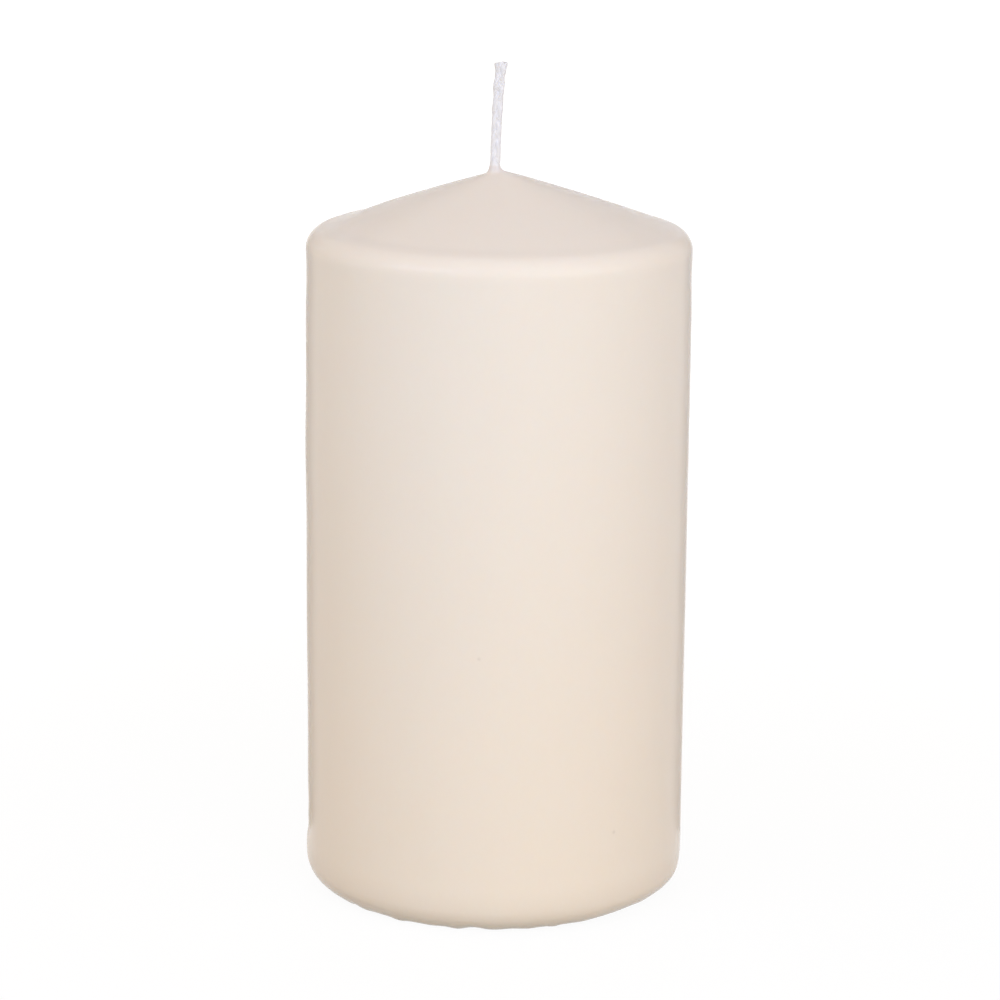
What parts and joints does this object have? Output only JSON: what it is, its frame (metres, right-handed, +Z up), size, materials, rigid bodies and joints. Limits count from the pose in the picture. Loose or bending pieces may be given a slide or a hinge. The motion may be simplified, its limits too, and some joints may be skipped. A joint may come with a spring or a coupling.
{
  "type": "pillar candle",
  "caption": "Cylindrical pillar candle of cream wax with a rounded shoulder, a low cone on top and an unlit plaited wick; it stands by itself and burns from the top.",
  "frame": {"origin": "centre of the foot, on the surface that the candle stands on", "axes": "+Z up along the pillar's axis, towards the wick; -Y is the front, and the wick stands off the axis towards -X where it leaves the wax"},
  "size_m": [0.068, 0.068, 0.1479],
  "materials": {
    "wax": "satin cream wax, slightly translucent",
    "wick": "plaited cotton soaked in wax"
  },
  "bodies": {
    "root": {"wax_body": "wax", "wick": "wick"}
  },
  "joints": []
}
